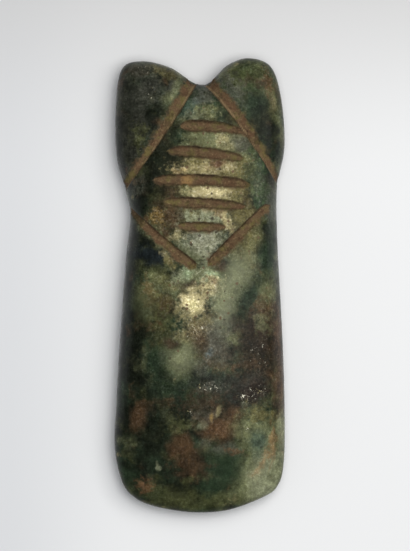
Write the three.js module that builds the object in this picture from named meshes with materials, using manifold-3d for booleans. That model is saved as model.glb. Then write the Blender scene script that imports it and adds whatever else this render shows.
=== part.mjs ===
// A polished greenstone axe head: one piece of stone with a blunt curved bit, a pinched waist and a butt
// of two rounded lobes with a notch between them. Its upper face carries nine sawn grooves, a lozenge of
// four strokes crossed by five bars. Millimetres, X across the axe, Y from the bit to the butt, Z up.
// It lies on its back on a small ground flat, and the origin is the middle of its footprint there.

import * as THREE from "three";
import { mergeVertices } from "three/addons/utils/BufferGeometryUtils.js";
import Module from "manifold-3d";

const { clamp, lerp, smoothstep } = THREE.MathUtils;

// Driving dimensions.
const LENGTH = 120; // from the bit to the top of the taller lobe
const WIDTH = 45; // over the blade, and over the lobes
const EDGE_HEIGHT = 8; // plane of the outline, above the surface that the axe lies on
const FACE_RISE = 10; // crest of the carved face above that plane
const BACK_RISE = 8.7; // crest of the back below it, before the flat is ground off
const GROOVE_DEPTH = 0.34; // of a groove's own width

// Plan outline, clockwise from the bit's left corner. Each stretch starts at a corner of the blank.
const OUTLINE = {
  leftFlank: [
    [-20.5, -52.0], // corner of the bit
    [-22.5, -43.0],
    [-22.1, -31.0],
    [-21.1, -14.0],
    [-19.6, 6.0],
    [-18.35, 18.5], // waist
    [-19.9, 26.0],
    [-22.0, 34.0],
    [-22.3, 46.0],
  ],
  butt: [
    [-20.8, 56.8], // shoulder of the left lobe
    [-15.6, 59.2],
    [-8.2, 57.7],
    [-3.0, 54.5],
    [0.5, 53.0], // bottom of the notch
    [3.6, 54.5],
    [7.4, 58.1],
    [12.8, 60.0],
  ],
  rightFlank: [
    [18.9, 57.8], // shoulder of the right lobe
    [21.7, 49.5],
    [22.6, 36.5],
    [20.6, 25.5],
    [20.7, 12.0], // waist
    [21.6, -5.0],
    [22.4, -22.0],
    [22.7, -40.0],
    [22.2, -48.6],
  ],
  bit: [
    [20.9, -52.7], // corner of the bit, worn to a straight facet
    [18.0, -55.4],
    [8.6, -59.1],
    [-1.0, -60.0],
    [-11.5, -58.5],
    [-17.3, -56.0],
  ],
};

// Form of the two faces: how they thin towards the ends, crown across and round over at the edge.
const CREST_Y = -4; // thickest place
const BIT_THINNING = 0.86;
const BIT_POWER = 2.5;
const BUTT_THINNING = 0.42;
const BUTT_POWER = 2;
const CROWN = 0.3; // drop of the face from the middle to the flank, as a share of its rise
const FLANK_ROUND = 7; // width of the rounded border along the flanks
const BUTT_ROUND = 5.5;
const BIT_ROUND = 2.6;
const BORDER_CHANGE = 16; // length over which one border width turns into the next

// Sawn grooves. Each runs from, by and to a point of the plan, and widths are at those three places. tips
// are the lengths over which its ends draw in, round, to nothing. lean moves its deepest line to the left
// of its run, as a share of half the width. An open end runs out over the edge of the stone.
const STROKES = [
  {
    from: [-2.4, 53.2], // the notch
    by: [-9.5, 41.2],
    to: [-19.6, 26.4], // left flank
    widths: [2.9, 2.3, 1.6],
    tips: [0, 0],
    lean: 0.4,
    open: [true, true],
  },
  {
    from: [2.7, 53.2], // the notch
    by: [11.2, 42.9],
    to: [19.9, 29.0], // right flank
    widths: [2.7, 2.4, 1.5],
    tips: [0, 0],
    lean: -0.4,
    open: [true, true],
  },
  {
    from: [-17.5, 19.0], // left flank, below the waist
    by: [-9.6, 11.3],
    to: [-1.0, 4.7],
    widths: [1.3, 2.5, 2.4],
    tips: [0, 1.8],
    lean: 0.3,
    open: [true, false],
  },
  {
    from: [18.2, 21.2],
    by: [10.5, 13.4],
    to: [2.3, 5.3],
    widths: [1.9, 2.6, 2.4],
    tips: [1.6, 2.0],
    lean: -0.3,
    open: [false, false],
  },
];
const BARS = [
  { from: [-5.1, 41.8], by: [3.2, 41.7], to: [12.0, 40.3], widths: [3.2, 2.9, 1.5], tips: [4, 0] },
  { from: [-8.3, 35.4], by: [1.5, 34.8], to: [11.8, 33.2], widths: [2.5, 2.9, 1.9], tips: [6, 4.5] },
  { from: [-12.0, 27.7], by: [0.9, 27.6], to: [13.3, 26.4], widths: [1.9, 3.1, 1.9], tips: [3, 4] },
  { from: [-9.2, 21.9], by: [1.5, 21.5], to: [12.1, 20.6], widths: [2.3, 2.8, 1.9], tips: [3, 4] },
  { from: [-5.8, 15.7], by: [0.4, 15.3], to: [6.8, 15.3], widths: [2.4, 2.6, 2.2], tips: [4, 3] },
].map((bar) => ({ ...bar, lean: 0.15, open: [false, false] }));
const LEAST_WIDTH = 0.2; // at the end of a tip
const OPEN_RUN = 3; // how far a cutter runs on past an open end
const CUTTER_CLEARANCE = 1.2; // of a cutter's top above the stone

// Fineness of the facets.
const CELLS_ACROSS = 22;
const CELLS_ALONG = 54;
const OUTLINE_STEPS = 12; // straight steps from one outline landmark to the next
const CUTTER_STEPS = 16;
const FLOOR_STEPS = 6; // across a groove's floor
const CROWDING = 0.8; // 0 spaces the facets evenly, 1 crowds them towards the ends of a run

const wasm = await Module();
wasm.setup();

const landmarks = Object.values(OUTLINE).flat();
const outline = fittedOutline(landmarks);
const outlinePoints = outline.getPoints(landmarks.length * OUTLINE_STEPS);

// The smooth closed curve through the landmarks, fitted to the driving length and width.
function fittedOutline(points) {
  const drawn = closedCurve(points.map(([x, y]) => new THREE.Vector3(x, y, 0)));
  const box = new THREE.Box3().setFromPoints(drawn.getPoints(points.length * OUTLINE_STEPS));
  const size = box.getSize(new THREE.Vector3());
  const middle = box.getCenter(new THREE.Vector3());
  const stretch = new THREE.Vector3(WIDTH / size.x, LENGTH / size.y, 1);
  return closedCurve(drawn.points.map((p) => p.clone().sub(middle).multiply(stretch)));
}

function closedCurve(points) {
  const curve = new THREE.CatmullRomCurve3(points, true, "catmullrom", 0.5);
  curve.arcLengthDivisions = points.length * OUTLINE_STEPS;
  return curve;
}

// One stretch of the outline, as a function of the share of its length.
function stretchOf(name) {
  const names = Object.keys(OUTLINE);
  const lengths = outline.getLengths();
  const shareAt = (index) => {
    const landmark = names.slice(0, index).reduce((sum, n) => sum + OUTLINE[n].length, 0);
    return lengths[landmark * OUTLINE_STEPS] / lengths.at(-1);
  };
  const index = names.indexOf(name);
  const [start, end] = [shareAt(index), shareAt(index + 1)];
  return (share) => outline.getPointAt(lerp(start, end, share));
}

// A Coons patch: a place of the plan from how far across (u) and how far up (v) it lies, both 0 to 1.
function planPatch() {
  const [left, top, right, bottom] = Object.keys(OUTLINE).map(stretchOf);
  const weighted = (point, weight) => point.clone().multiplyScalar(weight);
  return (u, v) =>
    new THREE.Vector3()
      .add(weighted(left(v), 1 - u))
      .add(weighted(right(1 - v), u))
      .add(weighted(bottom(1 - u), 1 - v))
      .add(weighted(top(u), v))
      .sub(weighted(left(0), (1 - u) * (1 - v)))
      .sub(weighted(right(1), u * (1 - v)))
      .sub(weighted(left(1), (1 - u) * v))
      .sub(weighted(right(0), u * v));
}

function distanceToOutline(x, y) {
  const place = new THREE.Vector3(x, y, 0);
  const side = new THREE.Line3();
  const nearest = new THREE.Vector3();
  let least = Infinity;
  for (let i = 1; i < outlinePoints.length; i++) {
    side.set(outlinePoints[i - 1], outlinePoints[i]).closestPointToPoint(place, true, nearest);
    least = Math.min(least, nearest.distanceTo(place));
  }
  return least;
}

// How far a face with this crest stands off the plane of the outline, over a place of the plan.
function rise(x, y, crest) {
  const end = LENGTH / 2;
  const toBit = clamp((CREST_Y - y) / (CREST_Y + end), 0, 1);
  const toButt = clamp((y - CREST_Y) / (end - CREST_Y), 0, 1);
  const along = 1 - BIT_THINNING * toBit ** BIT_POWER - BUTT_THINNING * toButt ** BUTT_POWER;
  const across = 1 - CROWN * (x / (WIDTH / 2)) ** 2;
  const nearBit = 1 - smoothstep(y, -end, -end + BORDER_CHANGE);
  const nearButt = smoothstep(y, end - BORDER_CHANGE, end);
  const border = FLANK_ROUND + (BIT_ROUND - FLANK_ROUND) * nearBit + (BUTT_ROUND - FLANK_ROUND) * nearButt;
  const toEdge = 1 - Math.min(distanceToOutline(x, y) / border, 1);
  return crest * along * across * Math.sqrt(1 - toEdge ** 2);
}

const facePoint = (x, y) => new THREE.Vector3(x, y, EDGE_HEIGHT + rise(x, y, FACE_RISE));

function faceNormal(x, y) {
  const step = 0.25;
  const alongX = facePoint(x + step, y).sub(facePoint(x - step, y));
  const alongY = facePoint(x, y + step).sub(facePoint(x, y - step));
  return alongX.cross(alongY).normalize();
}

// Spaces samples from 0 to 1 more closely towards both ends.
const crowded = (share) => lerp(share, (1 - Math.cos(Math.PI * share)) / 2, CROWDING);

// Joins vertices and triangles into a manifold solid.
function solidOf(vertices, triangles) {
  const loose = new THREE.BufferGeometry().setFromPoints(triangles.flat().map((i) => vertices[i]));
  const merged = mergeVertices(loose, 1e-4);
  return new wasm.Manifold(
    new wasm.Mesh({
      numProp: 3,
      vertProperties: merged.attributes.position.array,
      triVerts: new Uint32Array(merged.index.array),
    }),
  );
}

// The uncarved stone: two crowned faces that meet along the outline.
function blank() {
  const place = planPatch();
  const columns = CELLS_ACROSS + 1;
  const faces = [[], []];
  for (let j = 0; j <= CELLS_ALONG; j++) {
    for (let i = 0; i <= CELLS_ACROSS; i++) {
      const { x, y } = place(crowded(i / CELLS_ACROSS), crowded(j / CELLS_ALONG));
      const onOutline = i % CELLS_ACROSS === 0 || j % CELLS_ALONG === 0;
      const [up, down] = onOutline ? [0, 0] : [rise(x, y, FACE_RISE), rise(x, y, BACK_RISE)];
      faces[0].push(new THREE.Vector3(x, y, EDGE_HEIGHT + up));
      faces[1].push(new THREE.Vector3(x, y, EDGE_HEIGHT - down));
    }
  }
  const vertices = faces.flat();
  const under = faces[0].length;
  const triangles = [];
  for (let j = 0; j < CELLS_ALONG; j++) {
    for (let i = 0; i < CELLS_ACROSS; i++) {
      const a = j * columns + i;
      const [b, c, d] = [a + 1, a + columns + 1, a + columns];
      triangles.push([a, b, c], [a, c, d]);
      triangles.push([c, b, a].map((k) => k + under), [d, c, a].map((k) => k + under));
    }
  }
  return solidOf(vertices, triangles);
}

// The value at a share of the run of three values at its start, middle and end, on a parabola.
function threeWay([start, middle, end], share) {
  const s = share * 2 - 1;
  return middle + (s * (end - start)) / 2 + (s * s * (start + end - 2 * middle)) / 2;
}

// A groove's cross-section, as [left, out] pairs: its rounded floor, then two corners above the stone.
function grooveSection(width, lean) {
  const half = width / 2;
  const deepest = lean * half;
  const section = [];
  for (let i = 0; i <= FLOOR_STEPS; i++) {
    const t = (2 * i) / FLOOR_STEPS - 1;
    const left = deepest + t * (t < 0 ? half + deepest : half - deepest);
    section.push([left, -GROOVE_DEPTH * width * (1 - t * t)]);
  }
  section.push([half, CUTTER_CLEARANCE], [-half, CUTTER_CLEARANCE]);
  return section;
}

// A groove's width at a share of its run.
function grooveWidth({ from, by, to, widths, tips }, share) {
  const [start, middle, end] = [from, by, to].map(([x, y]) => new THREE.Vector2(x, y));
  const length = start.distanceTo(middle) + middle.distanceTo(end);
  const drawIn = (pastEnd, tip) => (tip ? Math.sqrt(1 - (1 - clamp(pastEnd / tip, 0, 1)) ** 2) : 1);
  const drawnIn = drawIn(share * length, tips[0]) * drawIn((1 - share) * length, tips[1]);
  return Math.max(threeWay(widths, share) * drawnIn, LEAST_WIDTH);
}

// The tool that saws one groove: its section swept over the face, square to it all the way.
function grooveCutter(groove) {
  const { from, by, to, lean, open } = groove;
  const rings = [];
  for (let k = 0; k <= CUTTER_STEPS; k++) {
    const share = crowded(k / CUTTER_STEPS);
    const [x, y] = [0, 1].map((axis) => threeWay([from[axis], by[axis], to[axis]], share));
    const section = grooveSection(grooveWidth(groove, share), lean);
    rings.push({ centre: facePoint(x, y), out: faceNormal(x, y), section });
  }
  rings.forEach((ring, k) => {
    const [before, after] = [rings[Math.max(k - 1, 0)], rings[Math.min(k + 1, CUTTER_STEPS)]];
    ring.run = after.centre.clone().sub(before.centre).normalize();
  });
  if (open[0]) rings.unshift(movedAlong(rings[0], -OPEN_RUN));
  if (open[1]) rings.push(movedAlong(rings.at(-1), OPEN_RUN));
  return sweep(rings);
}

function movedAlong(ring, distance) {
  return { ...ring, centre: ring.centre.clone().addScaledVector(ring.run, distance) };
}

// Skins a row of rings into a solid with flat ends.
function sweep(rings) {
  const corners = rings[0].section.length;
  const vertices = rings.flatMap(({ centre, out, run, section }) => {
    const left = out.clone().cross(run).normalize();
    const up = run.clone().cross(left);
    return section.map(([l, o]) => centre.clone().addScaledVector(left, l).addScaledVector(up, o));
  });
  const triangles = [];
  for (let k = 0; k < rings.length - 1; k++) {
    for (let i = 0; i < corners; i++) {
      const [a, b] = [k * corners + i, k * corners + ((i + 1) % corners)];
      triangles.push([a, b, a + corners], [b, b + corners, a + corners]);
    }
  }
  const last = (rings.length - 1) * corners;
  for (let i = 1; i < corners - 1; i++) {
    triangles.push([0, i + 1, i], [last, last + i, last + i + 1]);
  }
  return solidOf(vertices, triangles);
}

// The stone below the resting surface, which grinding the back flat takes away.
function belowTheFlat() {
  const box = new THREE.BoxGeometry(2 * WIDTH, 2 * LENGTH, EDGE_HEIGHT);
  const geometry = box.translate(0, 0, -EDGE_HEIGHT / 2).toNonIndexed();
  const corners = geometry.attributes.position;
  const cornerAt = (_, i) => new THREE.Vector3().fromBufferAttribute(corners, i);
  const vertices = Array.from({ length: corners.count }, cornerAt);
  const triangles = Array.from({ length: corners.count / 3 }, (_, i) => [3 * i, 3 * i + 1, 3 * i + 2]);
  return solidOf(vertices, triangles);
}

function geometryOf(solid) {
  const { numProp, vertProperties, triVerts } = solid.getMesh();
  const geometry = new THREE.BufferGeometry();
  const interleaved = new THREE.InterleavedBuffer(vertProperties, numProp);
  geometry.setAttribute("position", new THREE.InterleavedBufferAttribute(interleaved, 3, 0));
  geometry.setIndex(new THREE.BufferAttribute(triVerts, 1));
  const flat = geometry.toNonIndexed();
  flat.computeVertexNormals();
  return flat;
}

const greenstone = new THREE.MeshStandardMaterial({ color: 0x3c4638, roughness: 0.35, metalness: 0 });

const carved = [...STROKES, ...BARS].reduce(
  (stone, groove) => stone.subtract(grooveCutter(groove)),
  blank().subtract(belowTheFlat()),
);

const axe = new THREE.Mesh(geometryOf(carved), greenstone);
axe.name = "axe_head";

const part = new THREE.Group();
part.add(axe);

export default part;
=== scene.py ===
"""Looks of a polished greenstone axe head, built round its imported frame.

The stone is one fine mesh over the frame's solid: the same outline, faces and sawn grooves, with
hand-ground waviness, pits and the earth that has stayed in the grooves. Lengths are drawn in millimetres,
with x and y from the middle of the axe and z from the surface it lies on, and are scaled to the frame at
the end.
"""

import math
from collections import namedtuple

import bpy
import numpy as np
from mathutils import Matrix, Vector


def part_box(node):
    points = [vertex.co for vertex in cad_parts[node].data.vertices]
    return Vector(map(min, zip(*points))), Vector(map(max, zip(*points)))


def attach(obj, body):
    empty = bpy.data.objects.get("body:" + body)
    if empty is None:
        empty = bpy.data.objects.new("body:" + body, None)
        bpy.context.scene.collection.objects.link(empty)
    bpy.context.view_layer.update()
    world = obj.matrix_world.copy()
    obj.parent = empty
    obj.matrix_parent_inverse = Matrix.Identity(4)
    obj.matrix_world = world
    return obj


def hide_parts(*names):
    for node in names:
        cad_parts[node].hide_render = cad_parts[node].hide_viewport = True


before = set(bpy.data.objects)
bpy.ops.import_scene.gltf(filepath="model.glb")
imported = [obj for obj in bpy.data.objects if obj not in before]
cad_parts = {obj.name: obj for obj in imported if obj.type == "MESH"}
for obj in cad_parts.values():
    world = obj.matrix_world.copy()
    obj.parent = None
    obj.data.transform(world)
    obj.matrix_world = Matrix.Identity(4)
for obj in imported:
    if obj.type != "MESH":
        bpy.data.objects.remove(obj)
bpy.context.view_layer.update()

# -------- sizes, in drawn millimetres

LENGTH = 120.0
WIDTH = 45.0
EDGE_HEIGHT = 8.0  # plane of the outline
FACE_RISE = 10.0
BACK_RISE = 8.7  # more than EDGE_HEIGHT, so the crest of the back is ground flat
GROOVE_DEPTH = 0.34  # of a groove's own width

LOW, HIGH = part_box("axe_head")
UNIT = (HIGH.y - LOW.y) / LENGTH  # metres to a drawn millimetre
MIDDLE = np.array([(LOW.x + HIGH.x) / 2, (LOW.y + HIGH.y) / 2, LOW.z])

OUTLINE = {
    "left_flank": [
        (-20.5, -52.0), (-22.5, -43.0), (-22.1, -31.0), (-21.1, -14.0), (-19.6, 6.0),
        (-18.35, 18.5), (-19.9, 26.0), (-22.0, 34.0), (-22.3, 46.0),
    ],
    "butt": [
        (-20.8, 56.8), (-15.6, 59.2), (-8.2, 57.7), (-3.0, 54.5), (0.5, 53.0),
        (3.6, 54.5), (7.4, 58.1), (12.8, 60.0),
    ],
    "right_flank": [
        (18.9, 57.8), (21.7, 49.5), (22.6, 36.5), (20.6, 25.5), (20.7, 12.0),
        (21.6, -5.0), (22.4, -22.0), (22.7, -40.0), (22.2, -48.6),
    ],
    "bit": [
        (20.9, -52.7), (18.0, -55.4), (8.6, -59.1), (-1.0, -60.0), (-11.5, -58.5), (-17.3, -56.0),
    ],
}
OUTLINE_STEPS = 12

CREST_Y = -4.0  # where both faces stand fullest
BIT_THINNING, BIT_POWER = 0.86, 2.5  # share of its rise that a face loses by the bit, and the curve's power
BUTT_THINNING, BUTT_POWER = 0.42, 2.0
CROWN = 0.3  # share of its rise that a face loses by the flanks
FLANK_ROUND, BUTT_ROUND, BIT_ROUND = 7.0, 5.5, 2.6  # widths of the border that rounds over to the edge
BORDER_CHANGE = 16.0  # run at each end over which that width changes

# Sawn grooves: start, middle and end in plan, widths there, lengths of the rounded tips, lean of the
# deepest line to the left of the run, and which ends run out over the edge of the stone.
Groove = namedtuple("Groove", "start middle end widths tips lean open_ends", defaults=[(False, False)])
STROKES = [
    Groove((-2.4, 53.2), (-9.5, 41.2), (-19.6, 26.4), (2.9, 2.3, 1.6), (0.0, 0.0), 0.4, (True, True)),
    Groove((2.7, 53.2), (11.2, 42.9), (19.9, 29.0), (2.7, 2.4, 1.5), (0.0, 0.0), -0.4, (True, True)),
    Groove((-17.5, 19.0), (-9.6, 11.3), (-1.0, 4.7), (1.3, 2.5, 2.4), (0.0, 1.8), 0.3, (True, False)),
    Groove((18.2, 21.2), (10.5, 13.4), (2.3, 5.3), (1.9, 2.6, 2.4), (1.6, 2.0), -0.3),
]
BARS = [
    Groove((-5.1, 41.8), (3.2, 41.7), (12.0, 40.3), (3.2, 2.9, 1.5), (4.0, 0.0), 0.15),
    Groove((-8.3, 35.4), (1.5, 34.8), (11.8, 33.2), (2.5, 2.9, 1.9), (6.0, 4.5), 0.15),
    Groove((-12.0, 27.7), (0.9, 27.6), (13.3, 26.4), (1.9, 3.1, 1.9), (3.0, 4.0), 0.15),
    Groove((-9.2, 21.9), (1.5, 21.5), (12.1, 20.6), (2.3, 2.8, 1.9), (3.0, 4.0), 0.15),
    Groove((-5.8, 15.7), (0.4, 15.3), (6.8, 15.3), (2.4, 2.6, 2.2), (4.0, 3.0), 0.15),
]
UPPER_STROKES = 2  # the first strokes, with a painted highlight at the foot of their steep lip
LEAST_WIDTH = 0.1
OPEN_RUN = 3.0  # how far an open groove runs on past its end
NO_GROOVE = -2.0  # how far inside a groove a point is taken to be where none is near
SMEAR = 0.45  # how fast the earth thins out past a gentle lip, beside how fast past a steep one

# Lines along a groove, where painted shade and a painted highlight lie: place, from 0 at its deepest line
# to 1 at its edge, and width.
STEEP_LIP = (0.90, 0.26)
STEEP_FOOT = (0.50, 0.26)
GENTLE_LIP = (0.92, 0.18)
GENTLE_SHARE = 0.65  # how much painted shade a bar's gentle lip takes, beside a steep one
LIPS_SHOW = (0.2, 0.6)  # half widths of a groove between which its lips come to show

# Layers of noise in the surface: height, size of the blobs and octaves.
WAVES = [(0.10, 16.0, 1), (0.035, 5.0, 1), (0.008, 0.9, 2)]
BACK_WAVES = [(0.12, 15.0, 1), (0.04, 5.0, 1)]
EARTH_LUMPS = [(0.07, 2.2, 1), (0.05, 0.6, 2)]
RAGGED_EDGE = [(0.13, 1.6, 1), (0.09, 0.6, 1)]  # heights as shares of a groove's half width

FACE_SEED, BACK_SEED = 11, 23
CALM_RIM = 2.5  # width of the band along the rim where the waves die away
CALM_FLAT = 1.5  # height off the ground flat by which the back's waves are full
EARTH_DEPTH = 0.10
EARTH_LIES = (0.2, 0.9)  # depths of a groove between which the earth comes to lie in full
PIT_DEPTH, PIT_SIZE = 0.16, 1.3
PIT_FORMS = (0.1, 0.9)  # values of its noise between which a pit sinks in

# Fineness of the mesh: cells of the carved face, both even. The back has half as many each way. The cells
# crowd towards the rim, by an extra density that dies away over a share of the run.
CELLS_ACROSS, CELLS_ALONG = 160, 460
FLANK_CROWDING = (2.5, 0.03)
END_CROWDING = (2.0, 0.012)
CARVED_CROWDING = 0.9  # extra density of the carved half
CARVED_HALF = (0.45, 0.55)  # shares of the length between which it comes in


# -------- noise

def smoothstep(value, low, high):
    """A smooth step of value, from 0 at low to 1 at high."""
    t = np.clip((value - low) / (high - low), 0.0, 1.0)
    return t * t * (3 - 2 * t)


class Noise:
    """Seeded gradient noise over points of space, about -1 to 1."""

    GAIN = 1.6
    OCTAVE_SHIFT = 17.3  # sets each octave's lattice off from the last one's

    def __init__(self, seed):
        rng = np.random.default_rng(seed)
        self.order = np.concatenate([rng.permutation(256)] * 2)
        slopes = rng.normal(size=(256, 3))
        self.slopes = slopes / np.linalg.norm(slopes, axis=1)[:, None]

    def __call__(self, points, size, octaves=1):
        """Noise whose largest blobs are about size across, each octave half as wide and as strong."""
        total = np.zeros(len(points))
        for octave in range(octaves):
            total += self.single(points / size * 2**octave + self.OCTAVE_SHIFT * octave) / 2**octave
        return total * self.GAIN

    def single(self, points):
        """One octave, on a lattice of unit cells."""
        cell = np.floor(points).astype(int)
        inside = points - cell
        fade = inside**3 * (inside * (inside * 6 - 15) + 10)
        total = np.zeros(len(points))
        for corner in np.ndindex(2, 2, 2):
            i, j, k = ((cell + corner) & 255).T
            slope = self.slopes[self.order[self.order[self.order[i] + j] + k]]
            weight = np.prod(np.where(corner, fade, 1 - fade), axis=1)
            total += weight * np.einsum("ij,ij->i", slope, inside - corner)
        return total


def relief(noise, points, layers):
    """The sum of some layers of noise, each given by its height, size and octaves."""
    return sum(height * noise(points, size, octaves) for height, size, octaves in layers)


# -------- form of the stone

def closed_curve(points):
    """Samples of the smooth closed curve through some points, OUTLINE_STEPS from one to the next."""
    before, start, end, after = (np.roll(points, k, axis=0)[:, None] for k in (1, 0, -1, -2))
    t = (np.arange(OUTLINE_STEPS) / OUTLINE_STEPS)[None, :, None]
    leave, arrive = (end - before) / 2, (after - start) / 2
    curve = (
        (2 * t**3 - 3 * t**2 + 1) * start
        + (t**3 - 2 * t**2 + t) * leave
        + (3 * t**2 - 2 * t**3) * end
        + (t**3 - t**2) * arrive
    )
    return curve.reshape(-1, 2)


def fitted_outline():
    """The outline's samples, closed, fitted to the drawn length and width round the middle."""
    curve = closed_curve(np.array([p for stretch in OUTLINE.values() for p in stretch]))
    low, high = curve.min(0), curve.max(0)
    curve = (curve - (low + high) / 2) * (np.array([WIDTH, LENGTH]) / (high - low))
    return np.vstack([curve, curve[:1]])


RIM = fitted_outline()


def stretch_of(name):
    """One stretch of the outline, as a function of the share of its length."""
    names = list(OUTLINE)
    counts = [len(OUTLINE[n]) * OUTLINE_STEPS for n in names]
    first = sum(counts[: names.index(name)])
    points = RIM[first : first + counts[names.index(name)] + 1]
    run = np.concatenate([[0], np.cumsum(np.linalg.norm(np.diff(points, axis=0), axis=1))])
    return lambda share: np.stack([np.interp(share, run / run[-1], points[:, k]) for k in (0, 1)], -1)


def spaced(cells, density, samples=4001):
    """Shares from 0 to 1 that lie closer together where density is high."""
    share = np.linspace(0, 1, samples)
    crowd = np.cumsum(density(share))
    crowd = (crowd - crowd[0]) / (crowd[-1] - crowd[0])
    return np.interp(np.linspace(0, 1, cells + 1), crowd, share)


def crowding(share, extra, reach):
    """Extra density at both ends of a run, which dies away over a share of it."""
    return extra * (np.exp(-share / reach) + np.exp((share - 1) / reach))


def plan_grid(across, along):
    """A Coons patch over the outline: plan places in rows along the axe, x and y last."""
    left, top, right, bottom = (stretch_of(name) for name in OUTLINE)
    u, v = across[None, :, None], along[:, None, None]
    sides = (1 - u) * left(along)[:, None] + u * right(1 - along)[:, None]
    ends = (1 - v) * bottom(1 - across)[None] + v * top(across)[None]
    corners = (
        (1 - u) * (1 - v) * left(0.0)
        + u * (1 - v) * right(1.0)
        + (1 - u) * v * left(1.0)
        + u * v * right(0.0)
    )
    return sides + ends - corners


def distance_to_outline(places, at_once=4000):
    """How far each place is from the outline."""
    start, run = RIM[:-1], np.diff(RIM, axis=0)
    least = []
    for some in np.array_split(places, max(1, len(places) // at_once)):
        reach = some[:, None] - start[None]
        share = np.clip((reach * run).sum(-1) / (run * run).sum(-1), 0, 1)
        least.append(np.linalg.norm(reach - share[..., None] * run, axis=-1).min(1))
    return np.concatenate(least)


def rise(places, to_rim, crest):
    """How far a face with this crest stands off the plane of the outline."""
    x, y = places.T
    end = LENGTH / 2
    to_bit = np.clip((CREST_Y - y) / (CREST_Y + end), 0, 1)
    to_butt = np.clip((y - CREST_Y) / (end - CREST_Y), 0, 1)
    along = 1 - BIT_THINNING * to_bit**BIT_POWER - BUTT_THINNING * to_butt**BUTT_POWER
    across = 1 - CROWN * (x / (WIDTH / 2)) ** 2
    near_bit = 1 - smoothstep(y, -end, -end + BORDER_CHANGE)
    near_butt = smoothstep(y, end - BORDER_CHANGE, end)
    border = FLANK_ROUND + (BIT_ROUND - FLANK_ROUND) * near_bit + (BUTT_ROUND - FLANK_ROUND) * near_butt
    to_edge = 1 - np.minimum(to_rim / border, 1)
    return crest * along * across * np.sqrt(1 - to_edge**2)


# -------- grooves

def three_way(values, share):
    """The value at a share of the run of three values at its start, middle and end, on a parabola."""
    start, middle, end = values
    s = share * 2 - 1
    return middle + s * (end - start) / 2 + s * s * (start + end - 2 * middle) / 2


def groove_path(groove, samples=61):
    """Places along a groove, open ends run on, and the share of its drawn run at each."""
    share = np.linspace(0, 1, samples)
    drawn = zip(groove.start, groove.middle, groove.end)
    path = np.stack([three_way(values, share) for values in drawn], -1)
    if groove.open_ends[0]:
        share, path = np.append(0, share), np.vstack([run_on(path[1], path[0]), path])
    if groove.open_ends[1]:
        share, path = np.append(share, 1), np.vstack([path, run_on(path[-2], path[-1])])
    return path, share


def run_on(before, last):
    """The place that an open end reaches past the last place on its path."""
    run = last - before
    return last + run / np.linalg.norm(run) * OPEN_RUN


def groove_width(groove, share):
    """Width at a share of the run, which draws in to nothing over a rounded tip."""
    length = math.dist(groove.start, groove.middle) + math.dist(groove.middle, groove.end)
    width = three_way(groove.widths, share)
    for tip, past in zip(groove.tips, (share * length, (1 - share) * length)):
        if tip:
            width = width * np.sqrt(1 - (1 - np.clip(past / tip, 0, 1)) ** 2)
    return np.maximum(width, LEAST_WIDTH)


def beside_path(places, path, share):
    """For each place, by the nearest point of a path: the share of the run there, how far the place lies to
    its left, and how far past an end."""
    run = np.diff(path, axis=0)
    steps = np.linalg.norm(run, axis=1)
    offset = places[:, None] - path[None, :-1]
    part = np.clip((offset * run).sum(-1) / steps**2, 0, 1)
    gap = offset - part[..., None] * run
    nearest = np.linalg.norm(gap, axis=-1).argmin(1)
    each = np.arange(len(places))
    gap, part = gap[each, nearest], part[each, nearest]
    run = (run / steps[:, None])[nearest]
    here = share[nearest] + part * np.diff(share)[nearest]
    left = run[:, 0] * gap[:, 1] - run[:, 1] * gap[:, 0]
    return here, left, np.abs((gap * run).sum(1))


def groove_field(points, groove, ragged):
    """One groove at each point: its depth, how far inside its edge the point is, and how near the point is
    to its steep lip, to the foot of that lip and to its gentle lip, each 0 to 1."""
    path, share = groove_path(groove)
    reach = max(groove.widths)
    plan = points[:, :2]
    near = np.all((plan > path.min(0) - reach) & (plan < path.max(0) + reach), axis=1)
    here, left, past_end = beside_path(plan[near], path, share)
    half = groove_width(groove, here) / 2
    deepest = groove.lean * half
    side = np.where(left > deepest, half - deepest, half + deepest)
    across = (left - deepest) / side
    out = np.hypot(across, past_end / half) + ragged[near]
    depth = GROOVE_DEPTH * 2 * half * np.clip(1 - out**2, 0, None)
    steep = across * np.sign(groove.lean) > 0
    inside = half * (1 - out)
    inside = np.where((inside < 0) & ~steep, inside * SMEAR, inside)
    shown = smoothstep(half, *LIPS_SHOW)
    lip = line_at(out, *STEEP_LIP) * steep * shown
    foot = line_at(out, *STEEP_FOOT) * steep * shown
    gentle = line_at(out, *GENTLE_LIP) * ~steep * shown
    field = np.zeros((5, len(points)))
    field[1] = NO_GROOVE
    field[:, near] = depth, inside, lip, foot, gentle
    return field


def line_at(value, middle, width):
    """A soft line, 1 where value is at its middle."""
    return np.exp(-(((value - middle) / width) ** 2))


# -------- the mesh

def surface_normals(grid):
    """Unit normals of a grid of points."""
    along_u, along_v = np.gradient(grid, axis=1), np.gradient(grid, axis=0)
    normal = np.cross(along_u, along_v)
    return normal / np.maximum(np.linalg.norm(normal, axis=-1, keepdims=True), 1e-9)


def rows_of(grid):
    """A grid of points as one list."""
    return grid.reshape(-1, grid.shape[-1])


def face_grid(plan, to_rim, sign, crest):
    """A smooth face over the plan: sign is 1 for the carved face and -1 for the back."""
    z = EDGE_HEIGHT + sign * rise(rows_of(plan), to_rim, crest)
    return np.dstack([plan, np.maximum(z, 0).reshape(plan.shape[:2])])


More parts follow.
